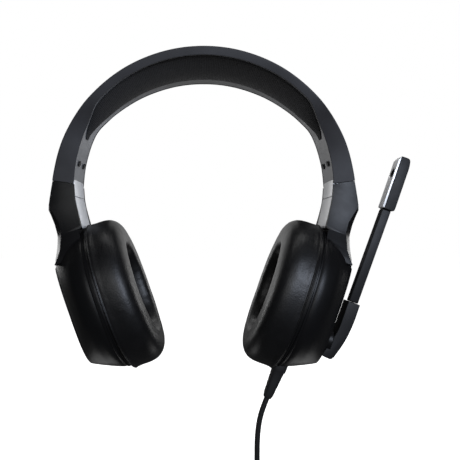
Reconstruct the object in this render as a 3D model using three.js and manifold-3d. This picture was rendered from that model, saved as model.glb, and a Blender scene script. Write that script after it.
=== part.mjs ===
// A closed-back gaming headset with sliding ear cups and a swinging boom microphone.
// Millimetres, +Z up. The origin is the middle of the head cushion's underside, where the
// crown of the head touches it. The wearer faces -Y, so +X is the wearer's left.
import * as THREE from "three";
import { mergeVertices } from "three/addons/utils/BufferGeometryUtils.js";
import Module from "manifold-3d";

const wasm = await Module();
wasm.setup();

// ---- driving dimensions ----
const DEG = Math.PI / 180;
const GAP = 0.35; // room left between neighbouring pieces

const BAND_RADIUS = 100; // outside of the arch
const PAD_DEPTH = 9.6; // from the outside of the arch down to the head
const ARCH_Z = PAD_DEPTH - BAND_RADIUS; // height of the arch's centre
const SHELL_WALL = 1.8;
const ARM_HALF = 13.8; // half the band's width at its arms
const SEAM = { x: 88.6, z: -73.5 }; // where a slider leaves the band
const SLIDE_TILT = 8; // degrees from upright, spreading downwards

const CUP = { x: 65, z: -150, tilt: 19 }; // centre of a cup's rim, and its lean
const RIM = { wide: 39.5, tall: 47.5 }; // half sizes of the rim
const HOUSING_DEPTH = 22.6;
const HOUSING_WALL = 2.2;
const RING_DEPTH = 4;
const CUSHION_DEPTH = 22.35;
const EAR_HOLE = { wide: 21, tall: 29 };
const DRIVER_RADIUS = 20;

const MIC = { y: -8, pivot: -20, elbowHalf: 6, stickHalf: 3, capsuleHalf: 4.4 };

const CORD_DIAMETER = 3.6;
const CORD_Y = -8; // the cord hangs in one upright plane
const RELIEF = { x: 1, z: -46.4 }; // top of the strain relief, in the left cup's frame
const COIL = { x: 45.5, y: -0.8, z: -293.5, radius: 20.3, layers: 3, across: 5 };

// ---- colours ----
function finish(color, roughness, metalness = 0) {
  return new THREE.MeshStandardMaterial({ color, roughness, metalness });
}
const LOOK = {
  band: finish(0x3a3a3c, 0.55),
  liner: finish(0x86878a, 0.6),
  fabric: finish(0x1b1b1d, 0.95),
  leather: finish(0x161617, 0.55),
  silver: finish(0xc4c6c9, 0.35, 0.6),
  shell: finish(0x19191b, 0.45),
  cover: finish(0x222225, 0.35),
  steel: finish(0x9a9ca0, 0.3, 1),
  board: finish(0x14402a, 0.6),
  copper: finish(0x9a5a2c, 0.4, 0.8),
  rubber: finish(0x121213, 0.85),
  boom: finish(0x2e2f31, 0.5),
  gold: finish(0xc9a04a, 0.25, 1),
};

// ---- making and cutting solids ----
function solidOf(geometry) {
  const bare = geometry.index ? geometry.toNonIndexed() : geometry.clone();
  bare.deleteAttribute("normal");
  bare.deleteAttribute("uv");
  const merged = mergeVertices(bare, 1e-4);
  const mesh = new wasm.Mesh({
    numProp: 3,
    vertProperties: merged.attributes.position.array,
    triVerts: new Uint32Array(merged.index.array),
  });
  return new wasm.Manifold(mesh);
}

function geometryOf(solid) {
  const mesh = solid.getMesh();
  const geometry = new THREE.BufferGeometry();
  geometry.setAttribute("position", new THREE.BufferAttribute(mesh.vertProperties, 3));
  geometry.setIndex(new THREE.BufferAttribute(mesh.triVerts, 1));
  return geometry;
}

function cut(geometry, ...tools) {
  return geometryOf(tools.reduce((left, tool) => left.subtract(solidOf(tool)), solidOf(geometry)));
}

function join(...geometries) {
  return geometryOf(geometries.map(solidOf).reduce((sum, one) => sum.add(one)));
}

function volumeOf(corners, faces) {
  return faces.reduce((sum, [a, b, c]) => sum + corners[a].dot(corners[b].clone().cross(corners[c])), 0);
}

// Skins rings of points into one closed body; the ends are capped, or joined into a loop.
function skin(rings, flatRings, looped = false) {
  const count = rings[0].length;
  const corners = rings.flat();
  const faces = [];
  const spans = looped ? rings.length : rings.length - 1;
  for (let i = 0; i < spans; i += 1) {
    const here = i * count;
    const next = ((i + 1) % rings.length) * count;
    for (let k = 0; k < count; k += 1) {
      const side = (k + 1) % count;
      faces.push([here + k, here + side, next + side]);
      faces.push([here + k, next + side, next + k]);
    }
  }
  if (!looped) {
    const last = (rings.length - 1) * count;
    const turn = THREE.ShapeUtils.isClockWise(flatRings[0]) ? 1 : -1;
    const side = ([a, b, c], flip) => (flip > 0 ? [a, b, c] : [a, c, b]);
    THREE.ShapeUtils.triangulateShape(flatRings[0], []).forEach((f) => faces.push(side(f, turn)));
    THREE.ShapeUtils.triangulateShape(flatRings[1], []).forEach((f) => {
      faces.push(side(f.map((n) => n + last), -turn));
    });
  }
  const outward = volumeOf(corners, faces) > 0;
  const index = faces.flatMap(([a, b, c]) => (outward ? [a, b, c] : [a, c, b]));
  const geometry = new THREE.BufferGeometry().setFromPoints(corners);
  geometry.setIndex(index);
  return geometry;
}

// A body swept through stations: section(t) is a flat outline and place(t, point) sets it in space.
function sweep(stations, section, place) {
  const flats = stations.map((t) => section(t));
  const rings = flats.map((flat, i) => flat.map((p) => place(stations[i], p)));
  return skin(rings, [flats[0], flats[flats.length - 1]]);
}

function extrude(outline, depth, holes = [], curveSegments = 12) {
  const shape = outline instanceof THREE.Shape ? outline : new THREE.Shape(outline);
  shape.holes.push(...holes);
  return new THREE.ExtrudeGeometry(shape, { depth, bevelEnabled: false, curveSegments });
}

function box(low, high) {
  const size = high.map((h, i) => h - low[i]);
  const middle = high.map((h, i) => (h + low[i]) / 2);
  return new THREE.BoxGeometry(...size).translate(...middle);
}

// A turned body about the local X axis; its outline is a list of [radius, x].
function turned(outline, segments = 20) {
  const points = outline.map(([radius, x]) => new THREE.Vector2(radius, x));
  return new THREE.LatheGeometry(points, segments).rotateZ(-Math.PI / 2);
}

function between(table, value) {
  const last = table.length - 1;
  if (value <= table[0][0]) return table[0].slice(1);
  if (value >= table[last][0]) return table[last].slice(1);
  const i = table.findIndex((row) => row[0] > value);
  const share = (value - table[i - 1][0]) / (table[i][0] - table[i - 1][0]);
  return table[i - 1].slice(1).map((low, k) => low + share * (table[i][k + 1] - low));
}

function range(low, high, steps) {
  return Array.from({ length: steps + 1 }, (_, i) => low + ((high - low) * i) / steps);
}

function named(name, geometry, look) {
  const mesh = new THREE.Mesh(geometry, look);
  mesh.name = name;
  return mesh;
}

// ---- the band ----
const BAND_FOOT = 8; // degrees above level where the arch's sweep starts, below the seam
// Each table below is a list of [degrees above level, value].
const EDGE_HALF = [
  [8, ARM_HALF], [18, 15], [26, 17.5], [33, 19.8], [38, 22], [42, 24], [46, 25.3], [50, 26.4],
  [56, 27.8], [62, 28.7], [70, 29.3], [80, 29.9], [90, 30.1],
];
const FOOT_HALF = [
  [26, 13.7], [33, 13.9], [36, 14.5], [39, 16.8], [42, 20.4], [45, 23], [50, 24.7], [55, 25.9],
  [62, 26.8], [70, 27.8], [80, 28.6], [90, 29.1],
];
const WALL_FOOT = [
  [11, 86.4], [15, 87.3], [20, 88.7], [25, 90], [30, 91.5], [35, 92.9], [40, 94.1], [45, 95.1],
  [50, 95.1], [62, 94.8], [70, 94.6], [90, 94.5],
];
const CREST = [
  [8, 100.7], [15, 101.1], [20, 101.5], [26, 101.7], [33, 101.6], [37, 101.4], [42, 101],
  [46, 100.7], [50, 100.5], [56, 100.3], [66, 100.2], [90, BAND_RADIUS + 0.1],
];
const ROOF = 1.7; // thickness of the roof between the side walls
const FOOT_WALL = 0.9; // thickness of the side walls at their foot
const TRAY_FLOOR = [[26, 90.3], [36, 95.2], [46, 96.1]]; // underside of the liner
const PAD_END = 31; // degrees where the head cushion starts
const PAD_FACE = 91.7; // radius of the pad's crown
const ARCH_STATIONS = range(BAND_FOOT, 180 - BAND_FOOT, 44);

const fromLevel = (angle) => Math.min(angle, 180 - angle);
const along = (table, angle) => between(table, fromLevel(angle))[0];
const wallFoot = (angle) => along(WALL_FOOT, angle);

// A point of a band section is (along Y, radius).
function onArch(angle, point) {
  const turn = angle * DEG;
  return new THREE.Vector3(point.y * Math.cos(turn), point.x, ARCH_Z + point.y * Math.sin(turn));
}

function outline(pairs) {
  return pairs.map(([a, b]) => new THREE.Vector2(a, b));
}

// The half space below the seam of one side, as a box to cut with.
function belowSeam(side, shift) {
  const block = box([-60, -60, -60], [60, 60, shift]);
  block.rotateY(-SLIDE_TILT * DEG * side);
  return block.translate(SEAM.x * side, 0, SEAM.z);
}

function trimmedAtSeams(geometry) {
  return cut(geometry, belowSeam(1, 0), belowSeam(-1, 0));
}

// The side walls lean outwards from their foot to the edge of the roof.
function bandShell() {
  const section = (angle) => {
    const w = along(EDGE_HALF, angle);
    const f = along(FOOT_HALF, angle);
    const foot = wallFoot(angle);
    const crest = along(CREST, angle);
    const roof = crest - ROOF;
    const edge = 1.4;
    return outline([
      [-f, foot], [-w, crest - edge], [-w + edge, crest - 0.2], [0, crest],
      [w - edge, crest - 0.2], [w, crest - edge], [f, foot],
      [f - FOOT_WALL, foot], [w - SHELL_WALL, roof - 1], [w - SHELL_WALL - 1, roof],
      [-w + SHELL_WALL + 1, roof], [-w + SHELL_WALL, roof - 1], [-f + FOOT_WALL, foot],
    ]);
  };
  return trimmedAtSeams(sweep(ARCH_STATIONS, section, onArch));
}

// The liner's margins slope up to a groove round the pad, and its floor between carries the pad.
const MARGIN = 4.6;
const GROOVE_WIDE = 2.4;
const linerEdge = (angle) => along(FOOT_HALF, angle) - FOOT_WALL - GAP;
const grooveDepth = (angle) => 1.1 * THREE.MathUtils.smoothstep(fromLevel(angle), 36, 46);

function linerFloor(angle) {
  const low = wallFoot(angle) + 0.3;
  return fromLevel(angle) < TRAY_FLOOR[0][0] ? low : along(TRAY_FLOOR, angle);
}

function bandLiner() {
  const thick = 1;
  const section = (angle) => {
    const edge = linerEdge(angle);
    const groove = edge - MARGIN;
    const flat = groove - GROOVE_WIDE;
    const low = wallFoot(angle) + 0.3;
    const floor = linerFloor(angle);
    const deep = floor + grooveDepth(angle);
    return outline([
      [-edge, low], [-groove, deep], [-flat, floor], [flat, floor], [groove, deep], [edge, low],
      [edge, low + thick], [groove, deep + thick], [flat, floor + thick],
      [-flat, floor + thick], [-groove, deep + thick], [-edge, low + thick],
    ]);
  };
  return trimmedAtSeams(sweep(ARCH_STATIONS, section, onArch));
}

function bandStrip() {
  const half = 7;
  const section = () => outline([[-half, 97.4], [half, 97.4], [half, 97.9], [-half, 97.9]]);
  return sweep(range(PAD_END + 5, 175 - PAD_END, 28), section, onArch);
}

function bandWire() {
  const path = new THREE.CatmullRomCurve3(
    range(38, 142, 24).map((angle) => onArch(angle, new THREE.Vector2(12, 97.7))),
  );
  return tubeAlong(path, 0.35, 36, 6);
}

// A crowned pad: its back lies on the liner's floor, its skirt reaches into the groove and its
// face swells towards the head.
function headCushion() {
  const leaf = (angle) => {
    const share = Math.min(1, (fromLevel(angle) - PAD_END + 0.5) / 9);
    return Math.sin((share * Math.PI) / 2) ** 0.6;
  };
  const section = (angle) => {
    const half = (linerEdge(angle) - MARGIN - 2.2 * leaf(angle)) * leaf(angle);
    const back = linerFloor(angle) - 0.35;
    const low = back - (back - PAD_FACE) * leaf(angle);
    const rim = back - 0.5;
    const swell = range(-1, 1, 20).map((t) => [half * t, low + (rim - low) * Math.abs(t) ** 1.9]);
    const skirt = 1.5 * leaf(angle) * grooveDepth(angle);
    return outline([
      ...swell, [half + skirt, back + 0.4 * grooveDepth(angle)], [0.86 * half, back],
      [-0.86 * half, back], [-half - skirt, back + 0.4 * grooveDepth(angle)],
    ]);
  };
  return sweep(range(PAD_END, 180 - PAD_END, 30), section, onArch);
}

// Pieces of one slider are drawn upright about the seam and then leaned over by the slide's tilt.
function atSeam(geometry) {
  return geometry.rotateY(-SLIDE_TILT * DEG).translate(SEAM.x, 0, SEAM.z);
}

const BLADE = { thick: 1.6, half: 9, above: 31, below: 13 };

function sliderBlade() {
  const { thick, half, above, below } = BLADE;
  return atSeam(box([-thick / 2, -half, -below], [thick / 2, half, above]));
}

function bladeSlot(low, high) {
  const { thick, half } = BLADE;
  return atSeam(box([-thick / 2 - GAP, -half - GAP, low], [thick / 2 + GAP, half + GAP, high]));
}

function sliderGuide() {
  const wall = ARM_HALF - SHELL_WALL - GAP;
  const block = atSeam(box([-1.9, -wall, 1], [5, wall, 11]));
  return cut(block, bladeSlot(-5, 20));
}

function linerScrew(y) {
  const screw = turned([[0, 0], [1.9, 0], [1.9, 0.9], [0, 0.9]], 16);
  const angle = 20 * DEG;
  screw.rotateY(Math.PI - angle);
  const radius = wallFoot(20) - 0.05;
  return screw.translate(radius * Math.cos(angle), y, ARCH_Z + radius * Math.sin(angle));
}

// ---- a cup, in its own frame: X outwards, Y as the headset's, Z up along the cup ----
function oval(wide, tall, steps = 40, power = 2.1) {
  return range(0, 360 - 360 / steps, steps - 1).map((turn) => {
    const c = Math.cos(turn * DEG);
    const s = Math.sin(turn * DEG);
    const y = wide * Math.sign(c) * Math.abs(c) ** (2 / power);
    const z = tall * Math.sign(s) * Math.abs(s) ** (2 / power);
    return new THREE.Vector2(y, z);
  });
}

// Ovals stacked along the cup's X; a level is [x, half width, half height, centre height].
function stackedOvals(levels, steps = 40) {
  const section = (level) => oval(level[1], level[2], steps, level[4]);
  const place = (level, p) => new THREE.Vector3(level[0], p.x, p.y + level[3]);
  return sweep(levels, section, place);
}

// A level is [x, half width, half height, centre height, squareness].
const HOUSING = [
  [0, RIM.wide, RIM.tall, 0, 2.1], [2, RIM.wide + 0.3, RIM.tall, 0, 2.1], [7, 38.4, 45.7, 0, 2.1],
  [12, 35.4, 43.3, -0.1, 2.2], [18, 28, 40.4, -0.2, 2.5], [21.9, 20.9, 38.6, -0.2, 2.9],
  [HOUSING_DEPTH, 20.3, 38.2, -0.2, 3],
];
const COVER_DEPTH = 1.4;

function housingCavity() {
  const top = HOUSING_DEPTH - COVER_DEPTH - 2;
  return stackedOvals([
    [-1, RIM.wide - HOUSING_WALL, RIM.tall - HOUSING_WALL, 0, 2.1], [12, 32.6, 40.4, -0.6, 2.1],
    [18, 24.6, 34.6, -3.6, 2.3], [top, 21.4, 33.2, -3.6, 2.4],
  ]);
}

// The arm of the yoke; a station is [height, inner x, x at its corners, outer x, half width].
// Below the silver plate's top its outer corners are cut back, and it runs down into the housing.
const YOKE = [
  [92, -9.2, 3.6, 3.6, 13.8], [84, -7.6, 6.6, 6.6, 13.8], [80, -6.7, 8.8, 8.8, 13.8],
  [74, -5.1, 12, 12, 13.8], [70.4, -4.1, 13.6, 14.3, 14], [67.2, -3.5, 13.8, 15.4, 14.1],
  [63.4, -3, 12.7, 15, 14.3], [57.1, -2.4, 11.2, 14.7, 15], [51, -1.9, 11.4, 15.1, 16.2],
  [49, -1.7, 11.8, 15.4, 16.7], [48.7, 0, 11.9, 15.5, 16.8], [47.8, 0, 12.2, 15.8, 17.1],
  [43.5, 0, 13.5, 17.4, 18.8], [39.1, 1, 14.9, 19.5, 20.5],
  [35, 4, 17.6, 21.7, 21.8], [31.4, 8, 20.5, 22.6, 22.5],
];
const YOKE_FLAT = 12.6; // half width of its flat outer middle

function yokeArm() {
  const section = ([, low, corner, high, half]) => outline([
    [low, -half], [corner, -half], [high, -YOKE_FLAT], [high, YOKE_FLAT], [corner, half], [low, half],
  ]);
  return sweep(YOKE, section, (row, p) => new THREE.Vector3(p.x, p.y, row[0]));
}

// What the notch above the housing takes away, so that its sides run on from the yoke's corners.
function yokeNotch() {
  const far = 70;
  const rows = [...YOKE.filter(([z]) => z < 60), [29, 0, 22.7, 22.7, 22.5]];
  const section = ([, , corner, high, half]) => outline([
    [corner, -far], [corner, -half], [high, -YOKE_FLAT], [high, YOKE_FLAT], [corner, half], [corner, far],
    [far, far], [far, -far],
  ]);
  return sweep(rows, section, (row, p) => new THREE.Vector3(p.x, p.y, row[0]));
}

// Turns a piece made in the headset's frame into the cup's own frame.
function intoCup(geometry) {
  return geometry.translate(-CUP.x, 0, -CUP.z).rotateY(-CUP.tilt * DEG);
}

function aboveSeam() {
  const block = box([-60, -60, -GAP], [60, 60, 60]);
  block.rotateY(-SLIDE_TILT * DEG);
  return intoCup(block.translate(SEAM.x, 0, SEAM.z));
}

// A plate bent in the cup's XZ plane, [x, z] points of its outer line, straight across Y.
function bentPlate(line, thick, half) {
  const inner = line.map(([x, z], i) => {
    const [ax, az] = line[Math.max(0, i - 1)];
    const [bx, bz] = line[Math.min(line.length - 1, i + 1)];
    const long = Math.hypot(bx - ax, bz - az);
    return [x + (thick * (bz - az)) / long, z - (thick * (bx - ax)) / long];
  });
  const flat = outline([...line, ...inner.reverse()]);
  return extrude(flat, 2 * half).rotateX(Math.PI / 2).translate(0, half, 0);
}

const ACCENT_LINE = [
  [15.2, 67.2], [15, 62.3], [14.7, 56], [15.2, 50], [16.8, 44.9], [19.5, 39], [22.4, 33.8],
];
const ACCENT = { thick: 1.7, half: 12 };

function accentPlate() {
  return bentPlate(ACCENT_LINE, ACCENT.thick, ACCENT.half);
}

function accentRoom() {
  const outer = [[30, 30], [30, 68]];
  const inner = ACCENT_LINE.map(([x, z]) => [x - ACCENT.thick - GAP, z - 0.4 - (x > 16 ? 0.6 : 0)]);
  inner.unshift([inner[0][0], 68]);
  inner.push([21.2, 30.5]);
  const half = ACCENT.half + GAP;
  return extrude(outline([...inner, ...outer]), 2 * half).rotateX(Math.PI / 2).translate(0, half, 0);
}

// The silver covers lie on the inner side of the yoke's arm.
const INNER_FACE = [
  [83.5, -7.4], [79.5, -6.5], [74, -5], [69.5, -3.8], [61, -2.7], [52, -1.8], [48.6, -1.6],
];

const INNER_COVER = { half: 12.3, thick: 1.3 };

function innerLine(from, to) {
  const line = INNER_FACE.filter(([z]) => z < from && z > to).map(([z, x]) => [x, z]);
  const ends = [from, to].map((z) => [between([...INNER_FACE].reverse(), z)[0], z]);
  return [ends[0], ...line, ends[1]];
}

function innerCover(from, to) {
  return bentPlate(innerLine(from, to), -INNER_COVER.thick, INNER_COVER.half);
}

// Room for both covers, let into the yoke so that its edges stand flush with them.
function coverRoom(from, to) {
  const room = innerLine(from, to).map(([x, z]) => [x + INNER_COVER.thick + GAP, z]);
  room[0][1] += 10;
  const flat = outline([...room, [-30, to], [-30, from + 10]]);
  const half = INNER_COVER.half + GAP;
  return extrude(flat, 2 * half).rotateX(Math.PI / 2).translate(0, half, 0);
}

function coverRecess(extra) {
  const plate = extrude(oval(15 + extra, 27 + extra, 36), COVER_DEPTH + extra);
  plate.rotateX(Math.PI / 2).rotateZ(Math.PI / 2);
  return plate.translate(HOUSING_DEPTH - COVER_DEPTH - extra, 0, -5);
}

function pivotHole(radius) {
  const hole = turned([[0, 10], [radius, 10], [radius, 30], [0, 30]], 20);
  return hole.translate(0, MIC.y, MIC.pivot);
}

function cupShell(withMic) {
  const arm = cut(yokeArm(), aboveSeam());
  const bowl = cut(stackedOvals(HOUSING), yokeNotch());
  const body = cut(join(bowl, arm), housingCavity(), accentRoom(), coverRoom(83.4, 48));
  const pocket = intoCup(bladeSlot(-BLADE.below - GAP, 8));
  const recessed = cut(body, coverRecess(GAP), pocket);
  return withMic ? cut(recessed, pivotHole(2.8)) : recessed;
}

function outerCover(withMic) {
  return withMic ? cut(coverRecess(0), pivotHole(2.8)) : coverRecess(0);
}

// A ring whose section runs from a hole's edge (share 0) to an outer edge (share 1).
function ovalRing(hole, outer, section, steps) {
  const inside = oval(hole.wide, hole.tall, steps);
  const outside = oval(outer.wide, outer.tall, steps);
  const rings = inside.map((p, i) =>
    section.map(([share, x]) => {
      const q = p.clone().lerp(outside[i], share);
      return new THREE.Vector3(x, q.x, q.y);
    }),
  );
  return skin(rings, [], true);
}

function cupRing() {
  const outer = { wide: RIM.wide + 0.8, tall: RIM.tall + 0.8 };
  const section = [[0, -GAP], [1, -GAP], [1, -RING_DEPTH], [0, -RING_DEPTH]];
  return ovalRing({ wide: 27, tall: 35 }, outer, section, 40);
}

// Full and round, and a little thicker towards the bottom of the cup.
function earCushion() {
  const near = -RING_DEPTH - GAP;
  const deep = CUSHION_DEPTH - GAP;
  const section = [
    [0.05, 0], [0.92, 0], [0.985, 3], [1, 7.5], [0.985, 12], [0.93, 15.8], [0.82, 18.9],
    [0.66, 20.8], [0.48, 21.7], [0.3, deep], [0.16, 21.6], [0.07, 19.6], [0.015, 15.5], [0, 10],
    [0, 4],
  ];
  const inside = oval(EAR_HOLE.wide, EAR_HOLE.tall, 34);
  const outside = oval(42.6, 51.2, 34);
  const rings = inside.map((p, i) =>
    section.map(([share, down]) => {
      const q = p.clone().lerp(outside[i], share);
      return new THREE.Vector3(near - down, q.x, q.y);
    }),
  );
  return skin(rings, [], true);
}

function baffle() {
  const hole = new THREE.Path().absarc(0, 0, DRIVER_RADIUS + 0.5, 0, 2 * Math.PI, true);
  const shape = new THREE.Shape(oval(RIM.wide - 4, RIM.tall - 4, 36));
  const plate = extrude(shape, 1.8, [hole], 14);
  return plate.rotateX(Math.PI / 2).rotateZ(Math.PI / 2).translate(1, 0, 0);
}

function speakerCloth() {
  const cloth = extrude(oval(26.6, 34.6, 32), 0.7);
  return cloth.rotateX(Math.PI / 2).rotateZ(Math.PI / 2).translate(-3.6, 0, 0);
}

function driverFrame() {
  const r = DRIVER_RADIUS;
  return turned([
    [12.6, 7.2], [18.6, 1.2], [r, 1.2], [r, 3.2], [r + 3, 3.2], [r + 3, 4.4],
    [r + 0.3, 4.4], [14, 8.6], [12.6, 8.6], [12.6, 7.2],
  ]);
}

function driverMagnet() {
  return turned([[0, 5.6], [10, 5.6], [12.2, 7.4], [12.2, 12.6], [11.4, 13.4], [0, 13.4]]);
}

function driverDiaphragm() {
  return turned([
    [0, -0.9], [5, -0.2], [8, 0.6], [12, 0], [18.2, 0.3], [18.2, 0.8], [8, 1.2], [0, -0.3],
  ]);
}

function circuitBoard() {
  const board = box([15, -13, -4], [16.4, 13, 24]);
  const chip = box([16.2, -6, 4], [17.6, 4, 14]);
  const socket = box([13.4, -10, -1], [15.2, -3, 6]);
  return join(board, chip, socket);
}

// ---- the microphone, in the left cup's frame ----
const ELBOW = [
  [28.4, 8.7], [36.1, 8.7], [36.2, -4.7], [34.7, -17.2], [30.9, -29.4], [29.4, -31.1],
  [23.1, -30.5], [28.3, -11.4],
];
const PIVOT_DISC = { radius: 7.5, from: HOUSING_DEPTH + GAP, to: 26.7 };

function acrossMic(pairs, half) {
  return extrude(outline(pairs), 2 * half).rotateX(Math.PI / 2).translate(0, MIC.y + half, 0);
}

function micElbow() {
  const { radius, to } = PIVOT_DISC;
  const room = turned([[0, 20], [radius + GAP, 20], [radius + GAP, to + GAP], [0, to + GAP]]);
  return cut(acrossMic(ELBOW, MIC.elbowHalf), room.translate(0, MIC.y, MIC.pivot));
}

function micPivot() {
  const { radius, from, to } = PIVOT_DISC;
  const pin = 2.4;
  const headLow = 16.9;
  const headHigh = HOUSING_DEPTH - COVER_DEPTH - 2 - GAP - 0.2;
  const profile = [
    [0, headLow], [4.2, headLow], [4.2, headHigh], [pin, headHigh], [pin, from],
    [radius, from], [radius, to], [0, to],
  ];
  return turned(profile).translate(0, MIC.y, MIC.pivot);
}

function micStick() {
  const low = 8.7 + GAP;
  const high = 73.6;
  const pairs = [[29.4, low], [35.6, low], [36.4, high], [30.4, high]];
  return acrossMic(pairs, MIC.stickHalf);
}

const CAPSULE = { low: 74, high: 110, plate: 1.2 };
const PORT = { radius: 2.9, z: 98.3 };

function portRound(radius, from, to) {
  return turned([[0, from], [radius, from], [radius, to], [0, to]]).translate(0, MIC.y, PORT.z);
}

function micCapsule() {
  const { low, high } = CAPSULE;
  const pairs = [
    [31.1, low], [37.6, low], [38, low + 3], [38, high - 5], [36.9, high], [31.1, high],
  ];
  const cavity = box([33.4, MIC.y - 2.6, 84], [36, MIC.y + 2.6, 104]);
  return cut(acrossMic(pairs, MIC.capsuleHalf), cavity, portRound(PORT.radius + GAP, 28, 34));
}

function micPlate() {
  const { low, high, plate } = CAPSULE;
  const x = 31.1 - GAP;
  const pairs = [[x - plate, low + 0.6], [x, low + 0.3], [x, high - 0.3], [x - plate, high - 3]];
  return cut(acrossMic(pairs, MIC.capsuleHalf), portRound(PORT.radius + GAP, 28, 34));
}

function micPort() {
  return portRound(PORT.radius, 30, 33);
}

function micElement() {
  const can = new THREE.CylinderGeometry(1.1, 1.1, 2.2, 16).rotateZ(Math.PI / 2);
  return can.translate(34.6, MIC.y, 92);
}

// ---- the cord ----
const RING_OUT = COIL.radius + (COIL.layers * CORD_DIAMETER) / 2;
const RING_IN = COIL.radius - (COIL.layers * CORD_DIAMETER) / 2;
const RING_HALF = (COIL.across * CORD_DIAMETER) / 2;

function tubeAlong(path, radius, steps, sides = 8) {
  const section = new THREE.Shape().absarc(0, 0, radius, 0, 2 * Math.PI);
  const settings = { steps, extrudePath: path, bevelEnabled: false, curveSegments: sides / 2 };
  return new THREE.ExtrudeGeometry(section, settings);
}

// The cord hangs out of its relief, falls straight, and bends into the top of the coil.
const CORD_ROUTE = [
  [42, -215.8], [41.1, -218], [39.8, -221.4], [38.5, -225.2], [37.4, -229.4], [36.6, -233.8],
  [36.05, -238.4], [35.7, -243], [35.55, -247.6], [35.5, -252.4], [35.5, -257], [35.55, -259.8],
  [35.9, -262.2], [36.85, -264.6], [37.95, -266.15],
];

function cordRun() {
  const points = CORD_ROUTE.map(([x, z]) => new THREE.Vector3(x, CORD_Y, z));
  return tubeAlong(new THREE.CatmullRomCurve3(points), CORD_DIAMETER / 2, 26);
}

function cordCoil() {
  const ring = [
    [RING_IN, -RING_HALF], [RING_OUT, -RING_HALF], [RING_OUT, RING_HALF], [RING_IN, RING_HALF],
    [RING_IN, -RING_HALF],
  ].map(([r, y]) => new THREE.Vector2(r, y));
  return new THREE.LatheGeometry(ring, 40).translate(COIL.x, COIL.y, COIL.z);
}

const PIN_SET = 6; // depth to which the pin is set in its grip
const PIN_RADIUS = 1.75;
// The tail leaves the innermost turn, crosses the coil's rear face and hangs beside it.
const TAIL = {
  x: COIL.x + COIL.radius - CORD_DIAMETER,
  y: COIL.y + RING_HALF + CORD_DIAMETER / 2 + 0.3,
  from: COIL.z + 4,
  to: COIL.z - 22.6,
};
const GRIP = { from: TAIL.to - GAP, to: TAIL.to - GAP - 21 };

function cordTail() {
  const path = new THREE.LineCurve3(
    new THREE.Vector3(TAIL.x, TAIL.y, TAIL.from),
    new THREE.Vector3(TAIL.x, TAIL.y, TAIL.to),
  );
  return tubeAlong(path, CORD_DIAMETER / 2, 3);
}

function cordTie() {
  const thick = 1;
  const room = 0.7;
  const half = 4;
  const middle = COIL.x + 3;
  const low = COIL.z + RING_IN - 2.3;
  const high = COIL.z + RING_OUT + room;
  const wide = RING_HALF + room;
  const bandBox = (x, grow) => {
    const corner = [middle - x, COIL.y - wide - grow, low - grow];
    return box(corner, [middle + x, COIL.y + wide + grow, high + grow]);
  };
  return cut(bandBox(half, thick), bandBox(2 * half, 0));
}

function jack(profile) {
  const points = profile.map(([r, z]) => new THREE.Vector2(r, z));
  return new THREE.LatheGeometry(points, 16).rotateX(-Math.PI / 2).translate(TAIL.x, TAIL.y, GRIP.from);
}

function jackGrip() {
  const long = GRIP.from - GRIP.to;
  const bore = PIN_RADIUS + GAP;
  return jack([
    [0, 0], [2.6, 0], [3.6, 7], [4.2, 9], [4.2, long - 1], [3.6, long], [bore, long],
    [bore, long - PIN_SET], [0, long - PIN_SET],
  ]);
}

function jackPin() {
  const from = GRIP.from - GRIP.to - PIN_SET + GAP;
  const tip = GRIP.from - GRIP.to + 14;
  const r = PIN_RADIUS;
  return jack([[0, from], [r, from], [r, tip - 4], [1.2, tip - 3.2], [1.7, tip - 2.2], [0.6, tip], [0, tip]]);
}

// In the cup's frame: a tapered boot under the housing, its top shaped to the cup above it.
function strainRelief() {
  const rise = 3.4; // stock above the cup's edge, cut away below
  const lean = 3 * DEG;
  const stations = [
    [0, 5, 4.2], [rise + 3, 5, 4.1], [rise + 4, 4.4, 3.7], [rise + 20, 3.3, 3.1], [rise + 23, 2.6, 2.6],
  ];
  const section = ([, wide, deep]) => oval(wide, deep, 16, 2.6);
  const place = ([down], p) => new THREE.Vector3(p.x, p.y, -down);
  const boot = sweep(stations, section, place).rotateY(lean);
  boot.translate(RELIEF.x, CORD_Y, RELIEF.z + rise);
  const clear = [[-8, RIM.wide + 1.2, RIM.tall + 1.2, 0], [0, RIM.wide + 1.2, RIM.tall + 1.2, 0]];
  const around = HOUSING.slice(1).map(([x, w, h, z]) => [x, w + GAP, h + GAP, z]);
  return cut(boot, stackedOvals([...clear, ...around]));
}

// ---- the assembly ----
function cupPieces(side, withMic) {
  const cup = new THREE.Group();
  cup.position.set(CUP.x, 0, CUP.z);
  cup.rotation.y = CUP.tilt * DEG;
  cup.add(
    named(side + "_cup_shell", cupShell(withMic), LOOK.shell),
    named(side + "_outer_cover", outerCover(withMic), LOOK.cover),
    named(side + "_accent_plate", accentPlate(), LOOK.silver),
    named(side + "_slider_cap", cut(innerCover(83.4, 70.4), aboveSeam()), LOOK.silver),
    named(side + "_yoke_cover", innerCover(70, 49), LOOK.silver),
    named(side + "_cup_ring", cupRing(), LOOK.shell),
    named(side + "_ear_cushion", earCushion(), LOOK.leather),
    named(side + "_speaker_cloth", speakerCloth(), LOOK.fabric),
    named(side + "_baffle", baffle(), LOOK.shell),
    named(side + "_driver_frame", driverFrame(), LOOK.steel),
    named(side + "_driver_magnet", driverMagnet(), LOOK.steel),
    named(side + "_driver_diaphragm", driverDiaphragm(), LOOK.copper),
  );
  if (withMic) {
    cup.add(
      named("circuit_board", circuitBoard(), LOOK.board),
      named("strain_relief", strainRelief(), LOOK.rubber),
      named("mic_pivot", micPivot(), LOOK.shell),
      named("mic_elbow", micElbow(), LOOK.boom),
      named("mic_stick", micStick(), LOOK.boom),
      named("mic_capsule", micCapsule(), LOOK.boom),
      named("mic_plate", micPlate(), LOOK.silver),
      named("mic_port", micPort(), LOOK.rubber),
      named("mic_element", micElement(), LOOK.steel),
    );
  }
  return cup;
}

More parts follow.
